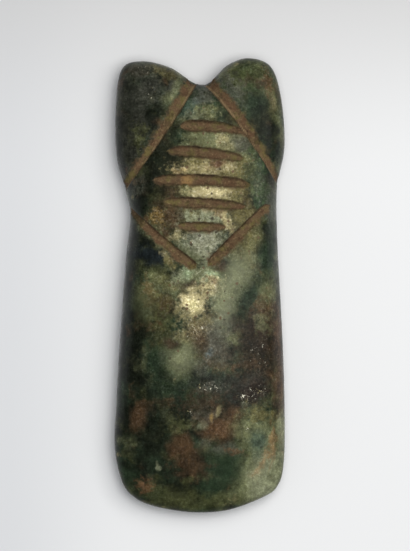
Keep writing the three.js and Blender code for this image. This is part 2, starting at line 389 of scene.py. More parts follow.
def carved_face(grid, to_rim):
    """The carved face's points with waves, grooves, earth and pits, and what its material needs to know."""
    noise = Noise(FACE_SEED)
    flat = rows_of(grid)
    ragged = relief(noise, flat, RAGGED_EDGE)
    fields = np.array([groove_field(flat, groove, ragged) for groove in STROKES + BARS])
    depth, inside, lip, foot, gentle = (fields[:, k] for k in range(5))
    depth = depth.max(0)
    earth = smoothstep(depth, *EARTH_LIES) * (EARTH_DEPTH + relief(noise, flat, EARTH_LUMPS))
    waves = smoothstep(to_rim, 0.0, CALM_RIM) * relief(noise, flat, WAVES)
    pitted = pitting(flat)
    pits = pitted * PIT_DEPTH * smoothstep(noise(flat, PIT_SIZE, 2), *PIT_FORMS)
    moved = flat + rows_of(surface_normals(grid)) * (waves + earth - depth - pits)[:, None]
    amounts = {
        "earth": inside.max(0),
        # Masks for painted light: a painted highlight at the foot of the upper strokes' steep lip, and
        # painted shade on the grooves' lips.
        "painted_lip_highlight": foot[:UPPER_STROKES].max(0),
        "painted_lip_shade": np.maximum(lip.max(0), GENTLE_SHARE * gentle[len(STROKES):].max(0)),
        "pitted": pitted,
    }
    return moved, amounts


def plain_back(grid, to_rim):
    """The back's points, waved except along the rim and on its ground flat."""
    back = rows_of(grid)
    calm = smoothstep(to_rim, 0.0, CALM_RIM) * smoothstep(back[:, 2], 0.0, CALM_FLAT)
    back[:, 2] += calm * relief(Noise(BACK_SEED), back, BACK_WAVES)
    return back


def pitting(points):
    """How pitted the polish is at each point, 0 to 1."""
    most = np.zeros(len(points))
    for zone in PITTED:
        turn = math.radians(zone.turn)
        x, y = points[:, 0] - zone.x, points[:, 1] - zone.y
        along = x * math.cos(turn) + y * math.sin(turn)
        up = y * math.cos(turn) - x * math.sin(turn)
        reach = np.hypot(along / zone.across, up / zone.along)
        most = np.maximum(most, zone.strength * (1 - smoothstep(reach, *PITTED_EDGE)))
    return most


def top_faces(index):
    """Quads between neighbouring points of the carved face."""
    corners = index[:-1, :-1], index[:-1, 1:], index[1:, 1:], index[1:, :-1]
    return np.stack(corners, -1).reshape(-1, 4).tolist()


def back_faces(index, used):
    """Faces of the back, two cells wide each way. Those along the rim also take the points between."""
    ring = ((0, 0), (0, 1), (0, 2), (1, 2), (2, 2), (2, 1), (2, 0), (1, 0))
    faces = []
    for row in range(0, index.shape[0] - 1, 2):
        for column in range(0, index.shape[1] - 1, 2):
            loop = [(row + down, column + along) for down, along in reversed(ring)]
            faces.append([int(index[cell]) for cell in loop if used[cell]])
    return faces


def stone_mesh():
    """The whole skin: a fine carved face and a back with half the cells each way, joined along the rim."""
    across = spaced(CELLS_ACROSS, lambda s: 1 + crowding(s, *FLANK_CROWDING))
    along = spaced(
        CELLS_ALONG,
        lambda s: 1 + CARVED_CROWDING * smoothstep(s, *CARVED_HALF) + crowding(s, *END_CROWDING),
    )
    plan = plan_grid(across, along)
    rim = np.zeros(plan.shape[:2], bool)
    rim[[0, -1], :] = rim[:, [0, -1]] = True
    to_rim = distance_to_outline(rows_of(plan))
    to_rim[rim.ravel()] = 0
    top, amounts = carved_face(face_grid(plan, to_rim, 1, FACE_RISE), to_rim)
    back = plain_back(face_grid(plan, to_rim, -1, BACK_RISE), to_rim)

    coarse = np.zeros(rim.shape, bool)
    coarse[::2, ::2] = True
    inner = coarse & ~rim
    index = np.arange(rim.size).reshape(rim.shape)
    under = index.copy()
    under[inner] = rim.size + np.arange(inner.sum())
    faces = top_faces(index) + back_faces(under, coarse | rim)

    points = np.vstack([top, back[inner.ravel()]])
    for name, values in amounts.items():
        on_back = NO_GROOVE if name == "earth" else 0.0
        amounts[name] = np.append(values, np.full(inner.sum(), on_back))
    return points, faces, amounts


def build_stone():
    """The stone as an object, with an attribute for each thing that its material needs to know."""
    points, faces, amounts = stone_mesh()
    mesh = bpy.data.meshes.new("polished_stone")
    mesh.from_pydata(points * UNIT + MIDDLE, [], faces)
    mesh.validate()
    mesh.polygons.foreach_set("use_smooth", [True] * len(mesh.polygons))
    for name, values in amounts.items():
        attribute = mesh.attributes.new(name, "FLOAT", "POINT")
        attribute.data.foreach_set("value", values.astype(np.float32))
    mesh.update()
    stone = bpy.data.objects.new("polished_stone", mesh)
    bpy.context.scene.collection.objects.link(stone)
    return stone


# -------- material

# Colours of the stone and its earth, as 8-bit sRGB.
PALETTE = {
    "black": (23, 27, 19),
    "charcoal": (45, 46, 39),
    "bottle": (40, 53, 37),
    "moss": (68, 71, 43),
    "olive": (99, 92, 53),
    "leaf": (60, 80, 48),
    "sage": (107, 111, 77),
    "mist": (132, 136, 107),
    "chalk": (160, 159, 134),
    "teal": (62, 76, 62),
    "mint": (138, 153, 116),
    "cream": (206, 194, 144),
    "butter": (232, 222, 160),
    "bone": (160, 149, 106),
    "umber": (58, 47, 33),
    "peat": (42, 33, 25),
    "ink": (27, 33, 34),
    "tan": (152, 121, 78),
    "rust": (95, 71, 48),
    "ochre": (146, 121, 70),
    "rusty_gold": (133, 96, 58),
    "slate": (82, 83, 71),
    "steel": (94, 108, 106),
    "earth": (97, 80, 58),
    "red_earth": (92, 71, 52),
    # The next two colour the earth's own grains, and also the painted shade and the painted highlight on
    # the grooves' lips.
    "dark_earth_and_shade": (48, 39, 28),
    "pale_earth_and_highlight": (142, 122, 90),
    # Painted highlight for the glints in the pits.
    "glint": (226, 222, 200),
}

CARVED_SIDE = (5.0, 9.0)  # heights between which the patches take over from the ground colour
CENTRE_OF_NOISE = (0.5, 0.5, 0.5)
WARPS = [(9.0, 5.0), (2.4, 1.7)]  # size of the noise that bends the place, and how far it pushes

# Colours over the ground's black and bottle green. Each has noise of its own, shifted aside, which shows it
# between two values.
Ground = namedtuple("Ground", "colour size low high strength shift")
GROUNDS = [
    Ground("moss", 6.0, 0.50, 0.66, 0.75, 31.0),
    Ground("sage", 10.0, 0.56, 0.70, 0.80, 57.0),
    Ground("rust", 7.0, 0.58, 0.72, 0.70, 83.0),
    Ground("bone", 4.0, 0.66, 0.76, 0.60, 109.0),
]

# How a patch's edge breaks up: size of the noise that pushes it, how far it pushes, and how soft the edge
# is, the last two as shares of the patch.
Edge = namedtuple("Edge", "size push soft")
EDGES = {
    "cloud": Edge(4.0, 1.3, 0.85),
    "blot": Edge(2.4, 1.2, 0.70),
    "fleck": Edge(1.5, 2.6, 0.85),
    "fibre": Edge(1.7, 2.2, 0.85),
    "grit": Edge(0.9, 3.4, 0.85),
    "veil": Edge(3.2, 1.2, 1.0),
}
FIBRE_TURN = -28  # degrees
FIBRE_SCALE = (3.0, 0.6, 1)

# Patches of the carved side, later ones over earlier ones: middle, half sizes, colour, strength, edge, and
# turn in degrees. Most are the stone's own colours; the mist patches across the middle of the blade are
# partly painted reflection, and a few bands along the flanks are painted reflection and painted shade,
# marked where they stand.
Patch = namedtuple("Patch", "x y across along colour strength edge turn", defaults=[0])
PATCHES = [Patch(*row) for row in (
    # left lobe
    (-16.5, 47.0, 7.0, 12.0, "charcoal", 0.95, "cloud"),
    (-14.0, 57.2, 3.6, 1.5, "slate", 0.6, "fleck", -8),
    (-8.0, 56.2, 3.6, 1.6, "olive", 0.55, "fleck", -25),
    (-12.4, 50.5, 2.6, 3.6, "slate", 0.25, "fleck"),
    (-17.4, 56.0, 2.6, 1.8, "slate", 0.35, "cloud", 30),
    (-15.4, 56.6, 2.2, 1.4, "charcoal", 0.85, "cloud"),
    (-7.6, 52.6, 1.2, 1.8, "slate", 0.8, "blot", -26),
    (-9.4, 54.0, 0.5, 0.8, "umber", 0.8, "blot", 10),
    (-7.2, 50.8, 1.2, 4.0, "sage", 0.6, "blot", -26),
    (-11.3, 44.8, 2.1, 3.2, "black", 1.0, "blot", -20),
    (-11.0, 42.3, 1.3, 0.8, "rust", 0.3, "blot", 20),
    (-16.8, 39.0, 2.2, 2.4, "moss", 0.8, "fleck"),
    (-19.5, 35.0, 2.0, 6.0, "charcoal", 0.8, "cloud", 5),
    # right lobe
    (13.5, 50.0, 7.5, 9.0, "moss", 0.8, "cloud"),
    (13.0, 57.4, 4.0, 1.8, "leaf", 0.2, "cloud"),
    (8.4, 52.0, 2.2, 3.6, "slate", 0.75, "fleck", 30),
    (13.8, 52.2, 1.8, 1.4, "leaf", 0.45, "blot"),
    (13.9, 47.0, 3.2, 3.8, "bottle", 0.95, "cloud", 15),
    (15.4, 53.4, 2.8, 1.2, "umber", 0.75, "fleck", -20),
    (16.0, 56.4, 2.2, 1.2, "sage", 0.5, "fleck", -30),
    (18.2, 53.2, 1.0, 2.6, "rust", 0.6, "grit", 12),
    (19.2, 48.2, 1.2, 2.6, "bone", 0.38, "blot", 5),
    (19.4, 45.0, 2.0, 2.2, "moss", 0.9, "cloud"),
    (16.6, 42.0, 3.2, 4.8, "black", 0.9, "cloud", 15),
    # Painted reflection: a pale band of sheen along the right flank.
    (21.8, 41.0, 0.8, 6.0, "sage", 0.5, "cloud"),
    # under the notch
    (1.0, 47.5, 7.5, 5.0, "bottle", 0.95, "cloud"),
    (0.6, 49.0, 2.4, 2.4, "slate", 0.85, "fleck"),
    (-1.6, 47.2, 1.6, 2.0, "steel", 0.25, "fleck", -30),
    (-3.4, 46.0, 1.8, 2.2, "teal", 0.9, "cloud", -30),
    (-0.8, 44.2, 3.2, 1.3, "mist", 0.5, "fleck"),
    (1.8, 45.8, 2.8, 1.3, "sage", 0.95, "fleck"),
    (7.4, 44.4, 2.0, 1.4, "black", 0.7, "cloud", -40),
    # between the bars
    (2.0, 28.0, 9.5, 12.0, "olive", 0.85, "cloud"),
    (-9.4, 32.6, 4.6, 6.6, "black", 0.95, "cloud", -35),
    (-5.4, 38.8, 2.6, 1.8, "bottle", 0.85, "cloud"),
    (2.6, 38.0, 5.6, 1.9, "sage", 0.95, "fleck"),
    (6.6, 37.8, 1.4, 1.5, "bone", 0.65, "fleck"),
    (10.6, 37.4, 2.0, 1.8, "slate", 0.7, "cloud", -20),
    (11.0, 31.4, 3.0, 3.0, "olive", 0.95, "cloud"),
    (2.0, 31.2, 6.0, 1.8, "bone", 0.7, "fleck"),
    (-4.0, 30.6, 2.2, 0.8, "bone", 0.95, "fleck", 8),
    (-4.8, 30.3, 1.5, 0.8, "tan", 0.35, "fleck", 8),
    (7.2, 32.0, 2.0, 1.3, "bone", 0.95, "fleck"),
    (4.6, 32.2, 2.0, 1.2, "rust", 1.0, "blot", 30),
    (-0.6, 32.6, 0.9, 1.2, "olive", 0.8, "fleck"),
    (-8.0, 24.8, 4.2, 2.2, "umber", 0.85, "fleck"),
    (8.8, 24.2, 3.6, 2.2, "olive", 0.95, "fleck"),
    (-2.8, 24.9, 2.0, 1.6, "sage", 0.9, "fleck"),
    (2.4, 24.5, 4.8, 1.6, "bone", 0.9, "fleck", -3),
    (2.6, 24.2, 3.4, 1.3, "cream", 0.9, "blot", -3),
    (1.6, 18.3, 5.6, 1.7, "mist", 0.85, "fleck"),
    (4.4, 19.8, 2.6, 0.7, "tan", 0.45, "fleck", -3),
    (-5.2, 18.6, 1.2, 1.4, "umber", 0.7, "cloud"),
    (10.6, 18.4, 2.8, 2.0, "olive", 0.9, "cloud"),
    # right of the bars
    (15.4, 28.5, 2.4, 6.4, "leaf", 0.75, "fleck", 12),
    (15.8, 27.5, 1.8, 5.6, "slate", 0.4, "fibre", 12),
    (13.0, 30.0, 2.0, 3.2, "moss", 0.75, "fleck"),
    (18.8, 27.8, 1.2, 1.8, "charcoal", 0.9, "cloud"),
    # Painted reflection: a pale band of sheen along the right flank.
    (19.4, 19.6, 1.6, 5.0, "slate", 0.75, "cloud"),
    # left of the bars
    (-13.4, 25.0, 3.0, 5.4, "black", 0.85, "cloud", -10),
    (-11.4, 22.6, 1.8, 2.6, "moss", 0.3, "fleck", -20),
    (-14.9, 21.8, 1.7, 3.0, "black", 1.0, "blot", 5),
    (-17.6, 26.4, 1.6, 2.6, "slate", 0.35, "fleck"),
    (-8.0, 18.6, 1.4, 2.6, "rust", 0.75, "fleck"),
    (-8.0, 16.2, 1.8, 3.0, "umber", 0.65, "fleck"),
    (-10.8, 18.4, 2.2, 2.6, "umber", 0.8, "cloud"),
    (-10.9, 18.2, 1.2, 1.3, "ochre", 0.5, "grit"),
    # round the V
    (0.6, 11.4, 5.4, 4.0, "mist", 0.7, "fleck"),
    (1.4, 11.2, 3.0, 3.0, "chalk", 0.75, "fleck"),
    (-0.8, 12.6, 2.6, 1.2, "slate", 0.5, "fleck"),
    (0.9, 5.4, 1.5, 1.8, "mist", 0.85, "fleck"),
    (-5.8, 13.4, 1.8, 1.3, "bone", 0.6, "fleck"),
    (-2.6, 8.2, 3.6, 1.6, "moss", 0.9, "fleck", -40),
    (7.3, 16.8, 0.8, 2.4, "bone", 1.0, "fleck", 12),
    (-17.0, 13.8, 2.4, 3.0, "black", 0.9, "cloud"),
    (-18.6, 9.0, 2.4, 7.0, "black", 0.95, "cloud"),
    (-13.2, 7.4, 4.7, 2.6, "ink", 1.0, "blot", -15),
    (-8.2, 7.2, 0.8, 2.4, "bone", 0.5, "fleck", 40),
    (-7.4, 6.2, 1.2, 1.6, "olive", 0.7, "fleck", 40),
    (12.6, 10.8, 3.4, 4.2, "olive", 0.75, "cloud", -20),
    (12.8, 10.4, 1.6, 3.0, "sage", 0.3, "fibre", -25),
    (17.4, 8.5, 2.4, 6.4, "bottle", 0.85, "cloud"),
    # below the V
    (-10.5, 2.6, 4.4, 2.2, "moss", 0.9, "cloud", -15),
    (-8.6, 1.2, 2.6, 1.8, "olive", 0.55, "cloud", -15),
    (-12.4, -2.2, 3.8, 4.6, "sage", 0.65, "cloud"),
    (-12.6, -3.0, 1.8, 3.6, "olive", 0.55, "fleck", 15),
    (10.0, 2.4, 3.6, 5.4, "sage", 0.75, "cloud", -14),
    (-1.4, 2.4, 5.6, 2.4, "sage", 0.9, "cloud"),
    (-5.2, 2.4, 2.0, 1.4, "mist", 0.5, "fleck"),
    (1.2, 1.8, 1.8, 1.4, "mist", 0.7, "fleck"),
    (-3.6, 3.4, 1.5, 1.1, "mint", 0.9, "blot"),
    (2.8, 1.6, 1.9, 1.8, "mint", 0.8, "blot"),
    (5.6, 4.8, 1.9, 1.8, "umber", 1.0, "blot", -15),
    (-2.0, 0.5, 3.4, 0.8, "umber", 0.8, "fleck", -6),
    (-9.0, -5.0, 3.0, 2.8, "umber", 0.95, "blot"),
    (-9.0, -4.6, 3.2, 2.6, "olive", 0.3, "fleck"),
    (-4.0, -7.2, 1.8, 1.4, "bone", 0.4, "fleck"),
    (-4.8, -12.8, 1.9, 1.8, "bone", 0.45, "fleck"),
    (-13.6, -1.8, 1.0, 3.0, "rust", 0.45, "fleck"),
    (1.6, -0.8, 2.4, 1.9, "bone", 0.75, "fleck"),
    (4.2, -1.0, 2.3, 1.7, "cream", 0.65, "grit", -30),
    (4.4, -4.4, 1.6, 2.0, "mist", 0.5, "fleck"),
    (3.8, 0.4, 2.2, 0.8, "rust", 0.7, "fleck", -30),
    (-1.6, -3.4, 2.5, 2.6, "bone", 0.95, "blot", 30),
    (-1.8, -3.9, 2.2, 2.3, "cream", 1.0, "blot", 40),
    (-1.6, -4.6, 1.3, 1.1, "butter", 0.8, "cloud"),
    (6.6, -4.6, 2.6, 6.4, "sage", 0.85, "cloud", -14),
    (12.8, -3.8, 2.6, 6.6, "bottle", 0.95, "cloud", -30),
    (18.0, -2.4, 2.0, 2.6, "sage", 0.7, "cloud"),
    (16.8, -5.6, 2.0, 3.0, "rust", 0.5, "fleck", -20),
    # Painted reflection: a pale band of sheen along the right flank.
    (20.6, 2.0, 1.1, 8.0, "slate", 0.5, "cloud"),
    # middle of the blade
    (0.6, -9.4, 3.6, 2.8, "bone", 0.4, "fleck"),
    (1.0, -14.0, 4.2, 3.8, "rust", 0.6, "cloud"),
    (-11.0, -10.4, 4.0, 3.4, "moss", 0.85, "fleck"),
    (4.6, -12.6, 3.0, 5.6, "slate", 0.85, "cloud", -22),
    (-5.2, -18.6, 3.4, 5.0, "sage", 0.9, "cloud", -18),
    (-10.2, -16.0, 2.2, 3.2, "moss", 0.7, "cloud"),
    (-7.8, -15.0, 1.7, 1.5, "umber", 0.95, "blot"),
    (1.4, -21.6, 3.0, 2.0, "slate", 0.6, "cloud"),
    (-16.6, -15.0, 4.4, 10.8, "black", 1.0, "cloud"),
    # Painted shade: darkens the left flank, the side away from the light.
    (-21.0, -12.0, 1.8, 14.0, "black", 0.95, "cloud"),
    (-11.6, -20.4, 2.8, 3.8, "bottle", 0.9, "cloud"),
    (-8.0, -26.6, 4.8, 3.4, "bottle", 0.9, "cloud", 15),
    (2.6, -17.6, 0.8, 1.0, "steel", 0.7, "fleck", -30),
    (6.6, -20.6, 4.4, 2.2, "rust", 0.35, "fleck", -10),
    (7.0, -19.0, 2.2, 1.4, "slate", 0.6, "fleck"),
    (16.4, -16.0, 6.0, 8.6, "peat", 0.95, "cloud", 20),
    (15.2, -20.0, 4.8, 6.4, "black", 0.9, "cloud", 10),
    (16.8, -9.8, 1.8, 1.8, "sage", 0.5, "fleck"),
    (15.6, -18.0, 6.0, 8.0, "rust", 0.12, "grit", 10),
    (20.6, -11.0, 1.2, 4.4, "rust", 0.55, "cloud"),
    (14.0, -21.0, 2.4, 1.6, "rust", 0.25, "fleck"),
    (9.0, -27.0, 8.0, 3.6, "charcoal", 0.85, "cloud"),
    (13.4, -27.6, 4.6, 2.4, "peat", 0.8, "fleck", 15),
    (3.6, -27.6, 2.6, 1.2, "slate", 0.6, "fleck"),
    (21.0, -27.0, 1.6, 7.0, "rust", 0.55, "cloud"),
    # towards the bit
    (-12.5, -39.0, 8.4, 11.0, "black", 0.9, "cloud"),
    (-16.8, -34.5, 1.9, 3.0, "rust", 0.5, "cloud"),
    (0.6, -31.0, 4.8, 2.6, "umber", 0.75, "fleck"),
    (1.2, -34.0, 2.8, 1.4, "slate", 0.5, "fleck"),
    (-2.8, -37.0, 2.4, 1.0, "sage", 0.3, "fleck", 10),
    (0.8, -36.2, 0.9, 0.9, "mist", 0.4, "blot"),
    (5.8, -37.2, 4.8, 3.8, "rust", 0.75, "cloud"),
    (-5.6, -36.6, 2.2, 2.0, "moss", 0.75, "fleck"),
    (1.8, -41.6, 2.4, 1.6, "slate", 0.45, "cloud"),
    (0.8, -43.6, 1.8, 1.6, "umber", 0.5, "cloud"),
    (-4.4, -42.6, 2.8, 3.8, "rust", 0.55, "cloud", 15),
    (14.2, -37.8, 3.8, 4.0, "sage", 0.9, "cloud"),
    (16.4, -34.0, 2.8, 2.0, "olive", 0.65, "fleck"),
    (16.0, -49.6, 6.4, 7.2, "sage", 1.0, "cloud", -30),
    (17.0, -48.6, 3.0, 4.6, "mist", 0.9, "cloud", -20),
    (6.4, -49.2, 4.2, 7.2, "bottle", 1.0, "cloud", -32),
    (15.2, -41.8, 2.2, 2.4, "teal", 0.9, "cloud"),
    (-2.0, -48.0, 3.8, 2.4, "umber", 0.9, "fleck"),
    (7.4, -43.0, 3.0, 1.8, "slate", 0.6, "cloud"),
    (9.0, -43.8, 2.0, 0.9, "rust", 0.85, "fleck"),
    (18.9, -42.4, 0.6, 4.2, "rusty_gold", 0.5, "fibre", -3),
    (17.2, -45.6, 0.8, 2.6, "rusty_gold", 0.6, "fleck", -25),
    (15.6, -48.6, 1.2, 1.8, "rusty_gold", 0.25, "cloud", -30),
    (10.0, -55.4, 4.2, 2.2, "sage", 0.7, "cloud", 25),
    (-8.0, -55.4, 7.4, 2.2, "moss", 0.6, "cloud", -8),
    (3.0, -57.0, 8.4, 1.8, "moss", 0.85, "cloud"),
    (17.2, -53.6, 3.6, 1.8, "mist", 0.8, "cloud", 30),
    # Painted reflection: a pale band of sheen along the right flank.
    (21.4, -41.0, 1.0, 6.4, "mist", 0.5, "cloud"),
    (-10.6, -48.2, 0.6, 0.9, "mist", 0.5, "blot"),
    (-14.2, -52.6, 1.5, 1.3, "rust", 0.8, "fleck"),
    (4.8, -33.2, 0.5, 1.1, "bone", 0.5, "blot", -30),
    (3.0, -34.0, 0.5, 1.1, "ochre", 0.45, "blot", -10),
)]

# Smooth veils laid over the patches and their grain. The mist veils across the middle of the blade are
# painted reflection, a sheen of room light in the polish; the rest tint the stone's own colour.
VEILS_AND_SHEEN = [
    Patch(-7.3, 50.6, 1.0, 3.2, "mist", 0.15, "veil", -26),
    Patch(9.6, 3.4, 2.8, 4.8, "mist", 0.42, "veil", -24),
    Patch(6.6, -5.4, 1.9, 4.6, "mist", 0.46, "veil", -10),
    Patch(-4.8, -19.0, 3.0, 3.4, "mist", 0.38, "veil", -30),
    Patch(-14.6, -4.0, 2.2, 3.6, "sage", 0.25, "veil"),
    Patch(16.8, -2.0, 1.6, 2.0, "sage", 0.20, "veil"),
    Patch(1.2, 11.0, 2.8, 3.0, "mist", 0.25, "veil"),
    Patch(16.2, -48.6, 3.0, 5.6, "mist", 0.25, "veil", -25),
    Patch(6.0, -49.0, 3.6, 6.4, "bottle", 0.40, "veil", -32),
    Patch(1.0, 37.8, 3.6, 1.5, "sage", 0.25, "veil"),
    Patch(2.6, 24.4, 3.6, 1.2, "bone", 0.35, "veil", -3),
]

# Fine veins, lighter or darker than the stone, that follow the middle value of a shifted noise.
Vein = namedtuple("Vein", "size shift gain strength")
VEINS = [Vein(5.0, 61, 1.7, 0.55), Vein(3.6, 89, 0.35, 0.6), Vein(2.2, 37, 1.6, 0.4)]
VEIN_WIDTH = 0.022  # in values of that noise

# A damp spot and a lump of clay in the earth, from an outer radius to one where they are full, with edges
# that noise pushes about.
Spot = namedtuple("Spot", "middle size push outer full strength colour")
EARTH_SPOTS = [
    Spot((-16.6, 17.6, 13.5), 1.6, 2.0, 4.6, 2.6, 0.75, "umber"),
    Spot((-3.3, 27.8, 17.5), 1.0, 1.6, 3.4, 2.0, 0.8, "tan"),
]
EARTH_ROUGHNESS = 0.92
BUMP_HEIGHT = 0.06
FLECK_SPACING = 1.1

# Where little pits break the polish, and where painted glints stand in for light caught by crystal faces:
# middle, half sizes, strength and turn.
Pitting = namedtuple("Pitting", "x y across along strength turn", defaults=[0])
PITTED_EDGE = (0.35, 1.25)  # shares of the half sizes between which the pits thin out
PITTED = [
    Pitting(2.8, -26.5, 4.4, 1.8, 1.0),
    Pitting(13.6, -28.8, 5.2, 2.6, 0.9, 22),
    Pitting(-2.4, -33.2, 1.5, 1.2, 0.75),
    Pitting(12.6, -37.6, 1.6, 1.0, 0.8),
    Pitting(15.6, -18.6, 4.6, 6.4, 0.45),
    Pitting(-1.0, -11.4, 3.8, 3.4, 0.8),
    Pitting(-0.6, 12.0, 4.0, 2.4, 0.8),
    Pitting(5.6, -1.0, 3.0, 2.0, 0.5, -30),
    Pitting(-10.4, 18.2, 2.4, 2.8, 0.5),
    Pitting(-13.6, 35.6, 3.4, 3.4, 0.5),
    Pitting(-14.2, 57.0, 3.4, 1.3, 0.55, -8),
    Pitting(-12.6, 50.4, 2.4, 3.6, 0.5),
]


def linear(colour):
    """A palette colour as linear RGBA."""
    parts = [c / 255 for c in PALETTE[colour]]
    return (*(c / 12.92 if c <= 0.04045 else ((c + 0.055) / 1.055) ** 2.4 for c in parts), 1.0)


class Shader:
    """Adds nodes to a node tree. A value that is a socket is linked, and any other is set."""

    def __init__(self, tree):
        self.tree = tree
        tree.nodes.clear()

    def add(self, kind, values=None, **settings):
        node = self.tree.nodes.new("ShaderNode" + kind)
        for name, value in settings.items():
            setattr(node, name, value)
        for key, value in (values or {}).items():
            if isinstance(value, bpy.types.NodeSocket):
                self.tree.links.new(value, node.inputs[key])
            else:
                node.inputs[key].default_value = value
        return node

    def maths(self, operation, *values, clamp=False):
        return self.add("Math", dict(enumerate(values)), operation=operation, use_clamp=clamp).outputs[0]

    def vector(self, operation, *values, output="Vector"):
        return self.add("VectorMath", dict(enumerate(values)), operation=operation).outputs[output]

    def scaled(self, vector, factor):
        return self.add("VectorMath", {0: vector, "Scale": factor}, operation="SCALE").outputs[0]

    def moved(self, place, **settings):
        return self.add("Mapping", {"Vector": place, **settings}).outputs[0]

    def aside(self, place, x, y):
        """The place taken aside, for noise that doesn't repeat another's."""
        return self.moved(place, Location=(x, y, 0))

    def millimetres(self):
        """The place on the object, in drawn millimetres."""
        return self.scaled(self.add("TexCoord").outputs["Object"], 1 / UNIT)

    def axis(self, place, name):
        return self.add("SeparateXYZ", {0: place}).outputs[name]

    def attribute(self, name):
        return self.add("Attribute", attribute_name=name).outputs["Fac"]

    def noise(self, place, size, detail=2.0, roughness=0.5, output="Fac"):
        """Noise about one half, whose blobs are about size millimetres across."""
        values = {"Vector": place, "Scale": 1 / size, "Detail": detail, "Roughness": roughness}
        return self.add("TexNoise", values).outputs[output]

    def steps(self, value, low, high, bottom=0.0, top=1.0):
        """A smooth step of value, from bottom at low to top at high."""
        values = {"Value": value, "From Min": low, "From Max": high, "To Min": bottom, "To Max": top}
        return self.add("MapRange", values, interpolation_type="SMOOTHSTEP").outputs[0]

    def mix(self, factor, under, over):
        """A colour between two, which the node takes at its sockets 6 and 7 and gives at 2."""
        return self.add("Mix", {0: factor, 6: under, 7: over}, data_type="RGBA").outputs[2]

    def mix_numbers(self, factor, under, over):
        """A number between two, which the same node takes at its sockets 2 and 3 and gives at 0."""
        return self.add("Mix", {0: factor, 2: under, 3: over}).outputs[0]

    def surface(self, values):
        """Ends a material with its surface."""
        shader = self.add("BsdfPrincipled", values)
        self.add("OutputMaterial", {"Surface": shader.outputs[0]})


def new_material(name):
    """A material, and the Shader that fills its node tree."""
    material = bpy.data.materials.new(name)
    material.use_nodes = True
    return material, Shader(material.node_tree)


def warped(s, place):
    """The place pushed about by noise, so that no patch keeps a drawn edge."""
    for size, push in WARPS:
        shift = s.vector("SUBTRACT", s.noise(place, size, 2, output="Color"), CENTRE_OF_NOISE)
        place = s.vector("ADD", place, s.scaled(shift, push))
    return place


def ground_colour(s, place):
    """The body of the stone: near-black green with moss, sage clouds and rust, all by noise."""
    colour = s.mix(s.steps(s.noise(place, 9, 4), 0.40, 0.62), linear("black"), linear("bottle"))
    for ground in GROUNDS:
        noise = s.noise(s.aside(place, ground.shift, -ground.shift), ground.size, 4)
        shown = s.steps(noise, ground.low, ground.high, 0, ground.strength)
        colour = s.mix(shown, colour, linear(ground.colour))
    return colour


def edge_fields(s, place):
    """For each kind of edge, one more than the noise that pushes it in and out."""
    stretched = s.moved(place, Rotation=(0, 0, math.radians(FIBRE_TURN)), Scale=FIBRE_SCALE)
    fields = {}
    for kind, edge in EDGES.items():
        noise = s.noise(stretched if kind == "fibre" else place, edge.size, 5, 0.65)
        fields[kind] = s.maths("MULTIPLY_ADD", noise, 2 * edge.push, 1 - edge.push)
    return fields


def patch_group():
    """A node group that lays one patch over a colour. The patch is the unit circle of its own frame."""
    group = bpy.data.node_groups.new("patch", "ShaderNodeTree")
    s = Shader(group)
    kinds = {"Color": "Color", "Place": "Vector", "Field": "Float", "Middle": "Vector", "Turn": "Float"}
    kinds.update({"Scale": "Vector", "Soft": "Float", "Strength": "Float", "Tint": "Color"})
    for name, kind in kinds.items():
        group.interface.new_socket(name, in_out="INPUT", socket_type="NodeSocket" + kind)
    group.interface.new_socket("Color", in_out="OUTPUT", socket_type="NodeSocketColor")
    given = s.tree.nodes.new("NodeGroupInput").outputs
    offset = s.vector("SUBTRACT", given["Place"], given["Middle"])
    values = {"Vector": offset, "Angle": given["Turn"]}
    turned = s.add("VectorRotate", values, rotation_type="Z_AXIS").outputs[0]
    reach = s.vector("LENGTH", s.vector("MULTIPLY", turned, given["Scale"]), output="Value")
    inside = s.maths("SUBTRACT", given["Field"], reach)
    outer = s.maths("MULTIPLY", given["Soft"], -1.0)
    share = s.steps(inside, outer, given["Soft"], 0.0, given["Strength"])
    result = s.mix(share, given["Color"], given["Tint"])
    s.tree.links.new(result, s.tree.nodes.new("NodeGroupOutput").inputs["Color"])
    return group


def patched(s, colour, bent, fields, patches):
    """The colour with every patch laid over it, at places already bent by noise."""
    group = bpy.data.node_groups.get("patch") or patch_group()
    for patch in patches:
        node = s.tree.nodes.new("ShaderNodeGroup")
        node.node_tree = group
        values = {
            "Middle": (patch.x, patch.y, 0),
            "Turn": -math.radians(patch.turn),
            "Scale": (1 / patch.across, 1 / patch.along, 0),
            "Soft": EDGES[patch.edge].soft,
            "Strength": patch.strength,
            "Tint": linear(patch.colour),
        }
        for name, value in values.items():
            node.inputs[name].default_value = value
        s.tree.links.new(colour, node.inputs["Color"])
        s.tree.links.new(bent, node.inputs["Place"])
        s.tree.links.new(fields[patch.edge], node.inputs["Field"])
        colour = node.outputs["Color"]
    return colour


